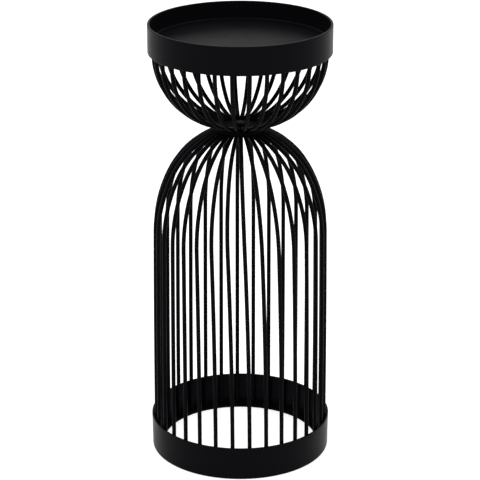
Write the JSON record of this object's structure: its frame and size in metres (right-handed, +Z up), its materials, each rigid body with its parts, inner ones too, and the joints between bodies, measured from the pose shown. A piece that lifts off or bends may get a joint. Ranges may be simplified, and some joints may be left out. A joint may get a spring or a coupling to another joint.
{
  "type": "candlestick",
  "caption": "Tall pillar-candle stand: a shallow round tray on a bowl of upright wires, joined at a narrow waist to a domed cage of wires that stands on a base ring.",
  "frame": {"origin": "centre of the base ring's footprint, on the surface that it stands on", "axes": "+Z up, -Y towards the front, +X to the right as seen from the front"},
  "size_m": [0.1226, 0.1226, 0.3],
  "materials": {
    "tray": "satin black powder coat",
    "base": "satin black powder coat",
    "hub_disc": "satin black powder coat",
    "fastener": "satin black powder coat",
    "cage_wire": "satin black powder coat",
    "bowl_wire": "satin black powder coat"
  },
  "bodies": {
    "root": {"tray_band": "tray", "tray_plate": "tray", "base_ring": "base", "upper_hub_disc": "hub_disc", "lower_hub_disc": "hub_disc", "hub_screw": "fastener", "hub_nut": "fastener", "cage_wire_01": "cage_wire", "cage_wire_02": "cage_wire", "cage_wire_03": "cage_wire", "cage_wire_04": "cage_wire", "cage_wire_05": "cage_wire", "cage_wire_06": "cage_wire", "cage_wire_07": "cage_wire", "cage_wire_08": "cage_wire", "cage_wire_09": "cage_wire", "cage_wire_10": "cage_wire", "cage_wire_11": "cage_wire", "cage_wire_12": "cage_wire", "cage_wire_13": "cage_wire", "cage_wire_14": "cage_wire", "cage_wire_15": "cage_wire", "cage_wire_16": "cage_wire", "cage_wire_17": "cage_wire", "cage_wire_18": "cage_wire", "cage_wire_19": "cage_wire", "cage_wire_20": "cage_wire", "cage_wire_21": "cage_wire", "cage_wire_22": "cage_wire", "cage_wire_23": "cage_wire", "cage_wire_24": "cage_wire", "cage_wire_25": "cage_wire", "cage_wire_26": "cage_wire", "cage_wire_27": "cage_wire", "cage_wire_28": "cage_wire", "cage_wire_29": "cage_wire", "cage_wire_30": "cage_wire", "cage_wire_31": "cage_wire", "cage_wire_32": "cage_wire", "bowl_wires_01": "bowl_wire", "bowl_wires_02": "bowl_wire", "bowl_wires_03": "bowl_wire", "bowl_wires_04": "bowl_wire", "bowl_wires_05": "bowl_wire", "bowl_wires_06": "bowl_wire", "bowl_wires_07": "bowl_wire", "bowl_wires_08": "bowl_wire", "bowl_wires_09": "bowl_wire", "bowl_wires_10": "bowl_wire", "bowl_wires_11": "bowl_wire", "bowl_wires_12": "bowl_wire", "bowl_wires_13": "bowl_wire", "bowl_wires_14": "bowl_wire", "bowl_wires_15": "bowl_wire", "bowl_wires_16": "bowl_wire"}
  },
  "joints": []
}
